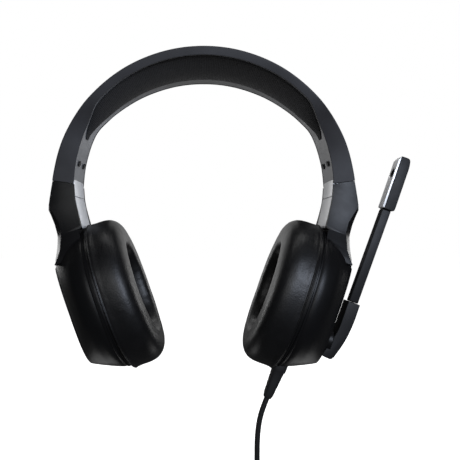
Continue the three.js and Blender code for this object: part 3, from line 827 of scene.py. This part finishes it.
def oval_ring(section, hole, outer, steps):
    """Rings of points whose section runs from the hole's edge (0) to the outer edge (1)."""
    inside, outside = oval(*hole, steps), oval(*outer, steps)
    return [
        [(x, *p.lerp(q, share)) for share, x in section] for p, q in zip(inside, outside)
    ]


def cup_ring(side):
    """The rim between housing and cushion, with a fine groove round its edge."""
    near, far = -0.2, -RING_DEPTH + 0.1
    groove = (near + far) / 2
    corners = [(0, near), (0.985, near), (1, near - 0.4), (1, groove + 0.5), (0.965, groove + 0.25),
               (0.965, groove - 0.25), (1, groove - 0.5), (0.99, far + 0.4), (0.975, far), (0, far)]
    rings = oval_ring(corners, (27, 35), (RIM_WIDE + 0.8, RIM_TALL + 0.8), 160)
    mesh = smooth(mesh_of("rim", *skin(rings, looped=True), CUP_FRAME, side == "right"), 35)
    link_piece(side + "_rim", mesh, "shell", side + "_cup", [side + "_cup_ring"])


PAD_NEAR = -RING_DEPTH - 0.25
PAD_DEPTH = 21.9
PAD_HOLE = (20.8, 28.8)
PAD_OUTER = (42.4, 51.0)
PAD_ASPECT = 1.2
PAD_CELL = 2.4
PAD_SWELL = 0.8
CLOTH_FRAMES = 20
PUCKER = 0.14
HOLLOW = 0.22
WRINKLE = 0.07
WELT_DOWN = 7.5
WELT_RADIUS = 0.45
PAD_SECTION = [
    (0.10, 0), (0.92, 0), (0.965, 1), (0.99, 3.5), (1, 7.5), (0.985, 12), (0.93, 15.8),
    (0.82, 18.8), (0.66, 20.7), (0.48, 21.6), (0.30, PAD_DEPTH), (0.16, 21.5), (0.07, 19.6),
    (0.015, 16), (0.0, 10), (0.02, 5), (0.05, 1.2),
]


def pad_depth(z):
    """The filling sinks a little, so the cushion is fuller towards the bottom of the cup."""
    return 1 + 0.06 * ease(-z, 0, 45)


def pad_blank():
    """The cushion as sewn, before its filling pushes the cover out, in the cup's frame."""
    section = [tuple(p) for p in smooth_line(PAD_SECTION, 4, closed=True)]
    rings = oval_ring(section, PAD_HOLE, PAD_OUTER, 200)
    rings = [[(PAD_NEAR - down * pad_depth(z), y, z) for down, y, z in ring] for ring in rings]
    return smooth(mesh_of("cushion", *skin(rings, looped=True)), 180)


def cloth_pass(shell):
    """The shell blown up by a cloth simulation, the edge next to the cup held in place."""
    holder = bpy.data.objects.new("cloth_pass", shell)
    bpy.context.scene.collection.objects.link(holder)
    held = holder.vertex_groups.new(name="held")
    held.add([v.index for v in shell.vertices if v.co.x > (PAD_NEAR - 1.5) * MM], 1.0, "REPLACE")
    modifier = holder.modifiers.new("cloth", "CLOTH")
    cloth = modifier.settings
    cloth.quality = 5
    cloth.mass = 0.2
    cloth.use_pressure = True
    cloth.uniform_pressure_force = 4
    cloth.tension_stiffness = 20
    cloth.compression_stiffness = 20
    cloth.shear_stiffness = 8
    cloth.bending_stiffness = 0.6
    cloth.shrink_min = 0.02
    cloth.vertex_group_mass = "held"
    cloth.effector_weights.gravity = 0
    scene = bpy.context.scene
    for owner in (scene, modifier.point_cache):
        owner.frame_start, owner.frame_end = 1, CLOTH_FRAMES
    for number in range(1, CLOTH_FRAMES + 1):
        scene.frame_set(number)
    graph = bpy.context.evaluated_depsgraph_get()
    settled = bpy.data.meshes.new_from_object(holder.evaluated_get(graph))
    scene.frame_set(1)
    bpy.data.objects.remove(holder)
    return settled


def carry_moves(mesh, places, moves):
    """Moves the mesh as the nearest of the given places moved."""
    tree = kdtree.KDTree(len(places))
    for index, place in enumerate(places):
        tree.insert(place, index)
    tree.balance()
    for vertex in mesh.vertices:
        near = tree.find_n(vertex.co, 8)
        weights = [1 / (distance + 0.5 * MM) for _, _, distance in near]
        push = Vector((0, 0, 0))
        for (_, index, _), weight in zip(near, weights):
            push += moves[index] * weight
        vertex.co += push / sum(weights)


def stuffed_pad():
    """Fills the sewn cover with a cloth pass on a coarser, even copy of it."""
    blank = pad_blank()
    even = ("REMESH", {"mode": "VOXEL", "voxel_size": PAD_CELL * MM})
    shell = modified(blank.copy(), even)
    start = [v.co.copy() for v in shell.vertices]
    moves = []
    for vertex, old in zip(cloth_pass(shell).vertices, start):
        moved = vertex.co - old
        moves.append(moved * min(1, PAD_SWELL * MM / max(moved.length, 1e-9)))
    carry_moves(blank, start, moves)
    return blank


def crease(mesh, seed):
    """Soft hollows and fine radial puckers where the cover is pulled round into the ear opening."""
    for vertex in mesh.vertices:
        here = vertex.co / MM
        down = (PAD_NEAR - here.x) / PAD_DEPTH
        if down < 0.1:
            continue
        turn = math.atan2(here.z / PAD_ASPECT, here.y)
        reach = math.hypot(here.y, here.z / PAD_ASPECT)
        inner = 1 - ease(reach, 24, 34)
        around = Vector((math.cos(turn) * 3, math.sin(turn) * 3, seed))
        pucker = noise.noise(around * 3.4) * inner * ease(down, 0.35, 0.95) * PUCKER
        swell = HOLLOW * noise.noise(here * 0.06 + Vector((seed, 0, 0)))
        wrinkle = WRINKLE * noise.noise(here * 0.24 + Vector((0, seed, 0)))
        vertex.co += vertex.normal * (pucker + swell + wrinkle - 0.1) * ease(down, 0.1, 0.3) * MM
    mesh.update()


def ear_cushion(side, stuffed):
    mesh = stuffed.copy()
    mesh.name = side + "_ear_pad"
    crease(mesh, 3 if side == "left" else 11)
    cup_to_world(mesh, side == "right")
    mesh.shade_smooth()
    piece = link_piece(
        side + "_ear_pad", mesh, "leather", side + "_cup", [side + "_ear_cushion"]
    )
    inner_seam(side)


def inner_seam(side):
    """The welt where the cushion's face is sewn to its inner wall, just inside the ear opening."""
    along = Vector((1, 0, 0))
    rings = []
    for y, z in oval(20.9, 28.9, 160):
        here = Vector((PAD_NEAR - WELT_DOWN, y, z))
        out = Vector((0, here.y, here.z / PAD_ASPECT)).normalized()
        turn = [2 * math.pi * k / 10 for k in range(10)]
        rings.append(
            [here + WELT_RADIUS * (math.cos(a) * out + math.sin(a) * along) for a in turn]
        )
    mesh = smooth(mesh_of("welt", *skin(rings, looped=True), CUP_FRAME, side == "right"), 60)
    link_piece(side + "_pad_welt", mesh, "leather", side + "_cup")


def speaker_cloth(side):
    levels = [(0, 0), (0.3, 0), (0.62, -0.3), (0.7, -1.2), (0.7, -6), (0.7, -14), (0.7, -24)]
    rings = [[(-2.9 - up, y, z) for y, z in oval(26.6 + grow, 34.6 + grow)] for up, grow in levels]
    mesh = smooth(mesh_of("cloth", *skin(rings), CUP_FRAME, side == "right"), 50)
    link_piece(side + "_cloth", mesh, "cloth", side + "_cup", [side + "_speaker_cloth"])


# ---- the microphone ----
ELBOW_HALF = 6
STICK_HALF = 3
CAPSULE_HALF = 4.4
PLATE_HALF = 4.35
PORT_Z = 98.3
PORT_ROOM = 3.3
ELBOW = [
    (28.4, 8.7), (36.1, 8.7), (36.2, -4.7), (34.7, -17.2), (30.9, -29.4), (29.4, -31.1),
    (23.1, -30.5), (28.3, -11.4),
]


def boom_part(name, outline, half, look, node, bevel, cutter=None):
    """A piece of the boom, stretched along Y; the cutter's room is taken out of it."""
    mesh = prism(name, outline, MIC_Y - half, MIC_Y + half, CUP_FRAME)
    if cutter:
        mesh = boolean(mesh, "DIFFERENCE", [cutter])
    link_piece(name, bevelled(mesh, *bevel), look, "mic_boom", [node])


def boom_turned(name, profile, look, node, place):
    mesh = smooth(turned(name, profile, place), 35)
    link_piece(name, mesh, look, "mic_boom", [node])


def microphone():
    place = CUP_FRAME @ Matrix.Translation((0, MIC_Y, MIC_PIVOT))
    port_place = CUP_FRAME @ Matrix.Translation((0, MIC_Y, PORT_Z))
    elbow = [tuple(p) for p in rounded(ELBOW, [0.3, 0.6, 6, 6, 2.5, 1.5, 1.2, 5], 5)]
    room = turned("hub_room", [(7.7, 20), (7.7, 27)], place)
    boom_part("mic_elbow_skin", elbow, ELBOW_HALF, "boom", "mic_elbow", (0.9, 4, 40), room)
    pivot = [
        (0.5, 16.9), (4.2, 16.9), (4.2, 18.65), (2.4, 18.65), (2.4, 22.95), (7.1, 22.95),
        (7.5, 23.3), (7.5, 26.3), (7.1, 26.7), (0.5, 26.7),
    ]
    boom_turned("mic_hub", pivot, "shell", "mic_pivot", place)
    stick = [(29.4, 8.9), (35.6, 8.9), (36.4, 73.6), (30.4, 73.6)]
    boom_part("mic_rod", stick, STICK_HALF, "boom", "mic_stick", (0.7, 4))
    capsule = [(31.1, 74), (37.6, 74), (38, 75.5), (38, 105), (36.9, 110), (31.1, 110)]
    outline = [tuple(p) for p in rounded(capsule, [0.4, 0.8, 1, 4, 2, 0.4], 5)]
    room = turned("port_room", [(PORT_ROOM, 29), (PORT_ROOM, 33.2)], port_place)
    boom_part("mic_case", outline, CAPSULE_HALF, "boom", "mic_capsule", (0.45, 3, 40), room)
    plate = [(29.6, 74.6), (30.95, 74.3), (30.95, 109.7), (29.6, 107)]
    hole = turned("port_hole", [(PORT_ROOM, 28), (PORT_ROOM, 34)], port_place)
    boom_part("mic_inlay", plate, PLATE_HALF, "silver", "mic_plate", (0.3, 3, 40), hole)
    port = [
        (0.2, 33), (2.95, 33), (2.95, 30.1), (2.6, 29.9), (2.3, 30.1), (2.2, 30.9), (1.8, 31.1),
        (1.4, 30.9), (0.9, 31.1), (0.2, 31.1),
    ]
    boom_turned("mic_grille", port, "rubber", "mic_port", port_place)


# ---- the cord ----
CORD_ROUTE = [
    (42, -215.8), (41.1, -218), (39.8, -221.4), (38.5, -225.2), (37.4, -229.4), (36.6, -233.8),
    (36.05, -238.4), (35.7, -243), (35.55, -247.6), (35.5, -252.4), (35.5, -257), (35.55, -259.8),
    (35.9, -262.2), (36.85, -264.6), (37.95, -266.15),
]
TAIL_X = COIL_X + COIL_RADIUS - CORD_DIAMETER
TAIL_Y = COIL_Y + COIL_ACROSS * CORD_DIAMETER / 2 + CORD_DIAMETER / 2 + 0.3
TAIL_END = COIL_Z - 22.6


def coil_turns():
    """The cord winds in from the outer layer, going to and fro across the bundle."""
    per_turn = 36
    side = (COIL_ACROSS - 1) / 2
    places = []
    for layer in range(COIL_LAYERS):
        columns = [k - side for k in range(COIL_ACROSS)]
        if layer % 2:
            columns.reverse()
        places += [(COIL_RADIUS + CORD_DIAMETER * (1 - layer), CORD_DIAMETER * c) for c in columns]
    places.append((COIL_RADIUS - CORD_DIAMETER, TAIL_Y - COIL_Y))
    points = []
    turns = len(places) - 1 + 0.25
    for k in range(int(turns * per_turn) + 1):
        turn = k / per_turn
        index = min(int(turn), len(places) - 2)
        into = turn - index
        # A turn keeps its place for most of its way and steps across near its end.
        step = ease(into, 0.72, 1.0) if turn < len(places) - 2 + 0.9 else 1.0
        here, after = places[index], places[index + 1]
        radius = here[0] + (after[0] - here[0]) * step
        across = here[1] + (after[1] - here[1]) * step
        angle = math.pi / 2 - 2 * math.pi * turn
        x, z = radius * math.cos(angle), radius * math.sin(angle)
        points.append((COIL_X + x, COIL_Y + across, COIL_Z + z))
    return points


def cord_path():
    hang = smooth_line([Vector((x, CORD_Y, z)) for x, z in CORD_ROUTE], 4)
    top = COIL_Z + COIL_RADIUS + CORD_DIAMETER
    bend = 10
    arc = []
    for degrees in (52, 62, 72, 81):
        turn = degrees * DEG
        arc.append((COIL_X - bend * math.cos(turn), CORD_Y, top + bend - bend * math.sin(turn)))
    turns = coil_turns()
    tail = [(TAIL_X, TAIL_Y, z) for z in spaced(COIL_Z - 3, TAIL_END, 8)]
    return [Vector(p) for p in [*hang, *arc, *turns, *tail]]


def tube(name, path, radius, sides=14):
    """A round tube along a path, its rings kept from twisting."""
    rings = []
    normal = Vector((0, 1, 0))
    for i, here in enumerate(path):
        along = (path[min(i + 1, len(path) - 1)] - path[max(i - 1, 0)]).normalized()
        normal = (normal - along * normal.dot(along)).normalized()
        other = along.cross(normal)
        turn = [2 * math.pi * k / sides for k in range(sides)]
        rings.append([here + radius * (math.cos(a) * normal + math.sin(a) * other) for a in turn])
    return smooth(mesh_of(name, *skin(rings)), 60)


def cord(shown):
    path = cord_path()
    mesh = tube("cord", path, CORD_DIAMETER / 2)
    nodes = ["cord_run", "cord_coil", "cord_tail"]
    piece = link_piece("cord", mesh, "rubber", "left_cup", nodes)


# ---- small pieces kept from the design, given soft edges and finishes ----
def finish_node(name, look, bevel=0.0):
    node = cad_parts[name]
    node.data.materials.clear()
    node.data.materials.append(MATERIALS[look])
    if bevel:
        edge = node.modifiers.new("edge", "BEVEL")
        edge.width = bevel * MM
        edge.segments = 3
        edge.limit_method = "ANGLE"
        edge.angle_limit = 40 * DEG
    node.data.shade_smooth()
    node.data.set_sharp_from_angle(angle=35 * DEG)


def inner_parts():
    for side in SIDES:
        finish_node(side + "_slider_guide", "shell", 0.4)
        finish_node(side + "_slider_blade", "steel", 0.3)
        finish_node(side + "_liner_screw_front", "rubber", 0.2)
        finish_node(side + "_liner_screw_rear", "rubber", 0.2)
        finish_node(side + "_baffle", "shell", 0.3)
        finish_node(side + "_driver_frame", "steel", 0.3)
        finish_node(side + "_driver_magnet", "steel", 0.4)
        finish_node(side + "_driver_diaphragm", "copper")
    finish_node("band_strip", "steel")
    finish_node("band_wire", "copper")
    finish_node("circuit_board", "board", 0.15)
    finish_node("mic_element", "steel", 0.2)


def strain_relief():
    """A tapered rubber boot with three flex slots down each side."""
    rise = 3.4
    stations = [
        (1.6, 5, 4.2), (rise + 3, 5, 4.1), (rise + 3.6, 4.75, 3.9),
        (rise + 4.4, 4.35, 3.65), (rise + 12, 3.85, 3.4), (rise + 20, 3.3, 3.1),
        (rise + 22.4, 2.75, 2.7), (rise + 23, 2.45, 2.45),
    ]
    rings = [[(y, x, -down) for x, y in oval(deep, wide, 48, 2.6)] for down, wide, deep in stations]
    lean = Matrix.Translation((1, CORD_Y, -46.4 + rise)) @ Matrix.Rotation(3 * DEG, 4, "Y")
    mesh = mesh_of("relief", *skin(rings))
    slots = []
    for side in (-1, 1):
        for k in range(3):
            down = rise + 7.6 + 4 * k
            wide = between([(s[0], s[1]) for s in stations], down)[0]
            low, high = sorted((side * (wide - 1.1), side * (wide + 2)))
            slots.append(box_mesh((low, -2.0, -down - 0.75), (high, 2.0, -down + 0.75)))
    mesh = boolean(mesh, "DIFFERENCE", slots)
    mesh.transform(in_metres(CUP_FRAME @ lean))
    mesh = bevelled(mesh, 0.25, 2, 40)
    link_piece("relief_boot", mesh, "rubber", "left_cup", ["strain_relief"])


def jack_piece(name, node, look, profile):
    place = Matrix.Translation((TAIL_X, TAIL_Y, TAIL_END - GAP)) @ Matrix.Rotation(90 * DEG, 4, "Y")
    mesh = smooth(turned(name, profile, place, 40), 35)
    return link_piece(name, mesh, look, "left_cup", [node])


def plug():
    grip = [
        (2.3, 0), (2.55, 0.3), (2.75, 2), (2.6, 2.3), (2.6, 2.9), (2.85, 3.2), (2.95, 4.6),
        (2.8, 4.9), (2.8, 5.5), (3.05, 5.8), (3.2, 7.2), (3.05, 7.5), (3.05, 8.1),
        (3.7, 8.7), (4.0, 9.6), (4.0, 20.3), (3.7, 21), (0.5, 21),
    ]
    pin = [
        (0.3, 18), (1.75, 18), (1.75, 24.4), (1.55, 24.4), (1.55, 24.8), (1.75, 24.8), (1.75, 27.6),
        (1.55, 27.6), (1.55, 28.0), (1.75, 28.0), (1.75, 30.6), (1.55, 30.6), (1.55, 31.0),
        (1.2, 31.8), (1.7, 32.8), (1.5, 33.8), (0.6, 35), (0.1, 35),
    ]
    return [
        jack_piece("plug_grip", "jack_grip", "rubber", grip),
        jack_piece("plug_pin", "jack_pin", "gold", pin),
    ]


def cord_strap():
    """A hook-and-loop tie round the top of the coil."""
    low, high = Vector((-11.3, 266.3)), Vector((9.7, 281.7))
    corners = [(low.x, -low.y), (high.x, -low.y), (high.x, -high.y), (low.x, -high.y)]
    outside = rounded(corners, [4, 4, 4, 4], 6)
    middle = Vector((low.x + high.x, -low.y - high.y)) / 2
    rings = []
    section = [
        (44.6, 0.25), (44.9, 0), (52.1, 0), (52.4, 0.25),
        (52.4, 0.95), (52.1, 1.2), (44.9, 1.2), (44.6, 0.95),
    ]
    for x, pull in section:
        rings.append([(x, *(p + (middle - p).normalized() * pull)) for p in outside])
    mesh = smooth(mesh_of("strap", *skin(rings, looped=True)), 60)
    return link_piece("cord_strap", mesh, "cloth", "left_cup", ["cord_tie"])


def all_pieces():
    band_shell()
    band_liner()
    head_cushion()
    stuffed = stuffed_pad()
    for side in SIDES:
        cup_shell(side)
        silver_covers(side)
        outer_cover(side)
        cup_ring(side)
        ear_cushion(side, stuffed)
        speaker_cloth(side)
    microphone()
    strain_relief()
    inner_parts()
    cord([*plug(), cord_strap()])


all_pieces()


# ---- light, floor and backdrop ----
def area_light(name, place, aim, size, power, color=(1, 1, 1)):
    data = bpy.data.lights.new(name, "AREA")
    data.shape = "RECTANGLE"
    data.size, data.size_y = size
    data.energy = power
    data.color = color
    light = bpy.data.objects.new(name, data)
    light.location = place
    light.rotation_euler = (Vector(aim) - Vector(place)).to_track_quat("-Z", "Y").to_euler()
    light.visible_camera = False
    bpy.context.scene.collection.objects.link(light)
    return light


def studio():
    floor_mesh = bpy.data.meshes.new("floor")
    reach, low = 6, -0.3535
    flat = ((-reach, -reach), (reach, -reach), (reach, reach), (-reach, reach))
    corners = [(x, y, low) for x, y in flat]
    floor_mesh.from_pydata(corners, [], [(0, 1, 2, 3)])
    floor = bpy.data.objects.new("floor", floor_mesh)
    bpy.context.scene.collection.objects.link(floor)
    pale = Look("floor_white", (0.8, 0.8, 0.8), 0.9, specular=0.1)
    pale.set(Emission_Color=(1, 1, 1, 1), Emission_Strength=0.97)
    pale.mottle(pale.noise(600), 0.01)
    floor_mesh.materials.append(pale.material)
    floor.visible_diffuse = False
    floor.visible_glossy = False

    world = bpy.data.worlds.new("studio")
    world.use_nodes = True
    bpy.context.scene.world = world
    tree = world.node_tree
    background = tree.nodes["Background"]
    path = tree.nodes.new("ShaderNodeLightPath")
    level = tree.nodes.new("ShaderNodeMapRange")
    level.inputs["To Min"].default_value = 0.05
    level.inputs["To Max"].default_value = 1.0
    tree.links.new(path.outputs["Is Camera Ray"], level.inputs["Value"])
    tree.links.new(level.outputs["Result"], background.inputs["Strength"])
    background.inputs["Color"].default_value = (1, 1, 1, 1)

    for side in SIDES.values():
        area_light("rim", (1.0 * side, 0.9, 0.02), (0, 0, -0.1), (0.5, 0.5), 3)
        inner = (-0.03 * side, 0.09, -0.07)
        area_light("inner", inner, (0.08 * side, 0, -0.08), (0.12, 0.16), 0.034)
        under = (0.13 * side, 0.06, -0.345)
        area_light("under", under, (0.08 * side, 0, -0.2), (0.10, 0.10), 0.035)
    area_light("front", (-0.1, -1.3, 0.15), (0, 0, -0.1), (0.8, 0.5), 3.4)
    area_light("top", (0, 0.1, 0.75), (0, 0, -0.1), (0.8, 0.5), 5)
    sky = (0.76, 0.84, 1.0)
    area_light("face", (0.30, -0.62, 0.045), (0.11, 0, -0.07), (0.30, 0.22), 3.2, sky)
    bounce = area_light("bounce", (0, 0, -0.345), (0, 0, 1), (1.6, 1.2), 2)
    bounce.visible_glossy = False
    bpy.context.scene.view_settings.view_transform = "Standard"


studio()
